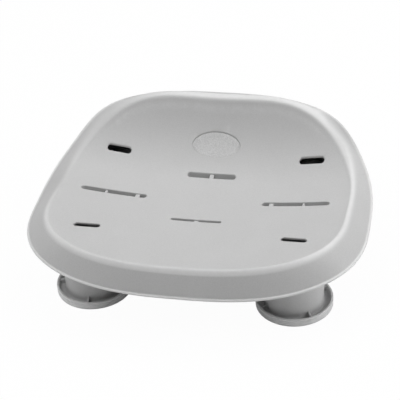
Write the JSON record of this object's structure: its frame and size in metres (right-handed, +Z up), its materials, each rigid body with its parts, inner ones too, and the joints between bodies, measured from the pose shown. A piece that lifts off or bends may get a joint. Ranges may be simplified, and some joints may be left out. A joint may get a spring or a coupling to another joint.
{
  "type": "bath and shower seat",
  "caption": "Low moulded plastic bath and shower seat with drain slots, a raised rear rim and stubby twist-in legs on suction cups.",
  "frame": {"origin": "on the floor, under the middle of the seat's outline", "axes": "+Z up, front of the seat towards -Y, +X to the right as seen from the front"},
  "size_m": [0.4, 0.3038, 0.1497],
  "materials": {
    "moulded_grey": "fine matt grain",
    "plate_grey": "blasted, slightly sparkling",
    "cup_grey": "soft moulded rubber",
    "stainless": "plain stainless steel"
  },
  "bodies": {
    "root": {"seat_shell": "moulded_grey", "oval_plate": "plate_grey"},
    "leg_fl": {"leg_front_left": "moulded_grey"},
    "cup_fl": {"suction_cup_front_left": "cup_grey", "cup_stud_front_left": "stainless", "cup_washer_front_left": "stainless", "cup_nut_front_left": "stainless"},
    "leg_fr": {"leg_front_right": "moulded_grey"},
    "cup_fr": {"suction_cup_front_right": "cup_grey", "cup_stud_front_right": "stainless", "cup_washer_front_right": "stainless", "cup_nut_front_right": "stainless"},
    "leg_rl": {"leg_rear_left": "moulded_grey"},
    "cup_rl": {"suction_cup_rear_left": "cup_grey", "cup_stud_rear_left": "stainless", "cup_washer_rear_left": "stainless", "cup_nut_rear_left": "stainless"},
    "leg_rr": {"leg_rear_right": "moulded_grey"},
    "cup_rr": {"suction_cup_rear_right": "cup_grey", "cup_stud_rear_right": "stainless", "cup_washer_rear_right": "stainless", "cup_nut_rear_right": "stainless"}
  },
  "joints": [
    {"name": "leg_fl_twist", "type": "hinge", "parent": "root", "child": "leg_fl", "pos_m": [-0.119, -0.0685, 0.068], "axis": [0, 0, 1], "range_deg": [0, 30]},
    {"name": "cup_fl_press", "type": "slide", "parent": "leg_fl", "child": "cup_fl", "axis": [0, 0, 1], "range_m": [0, 0.0013], "stiffness_N_per_m": 6000},
    {"name": "leg_fr_twist", "type": "hinge", "parent": "root", "child": "leg_fr", "pos_m": [0.119, -0.0685, 0.068], "axis": [0, 0, 1], "range_deg": [0, 30]},
    {"name": "cup_fr_press", "type": "slide", "parent": "leg_fr", "child": "cup_fr", "axis": [0, 0, 1], "range_m": [0, 0.0013], "stiffness_N_per_m": 6000},
    {"name": "leg_rl_twist", "type": "hinge", "parent": "root", "child": "leg_rl", "pos_m": [-0.119, 0.0855, 0.068], "axis": [0, 0, 1], "range_deg": [0, 30]},
    {"name": "cup_rl_press", "type": "slide", "parent": "leg_rl", "child": "cup_rl", "axis": [0, 0, 1], "range_m": [0, 0.0013], "stiffness_N_per_m": 6000},
    {"name": "leg_rr_twist", "type": "hinge", "parent": "root", "child": "leg_rr", "pos_m": [0.119, 0.0855, 0.068], "axis": [0, 0, 1], "range_deg": [0, 30]},
    {"name": "cup_rr_press", "type": "slide", "parent": "leg_rr", "child": "cup_rr", "axis": [0, 0, 1], "range_m": [0, 0.0013], "stiffness_N_per_m": 6000}
  ]
}
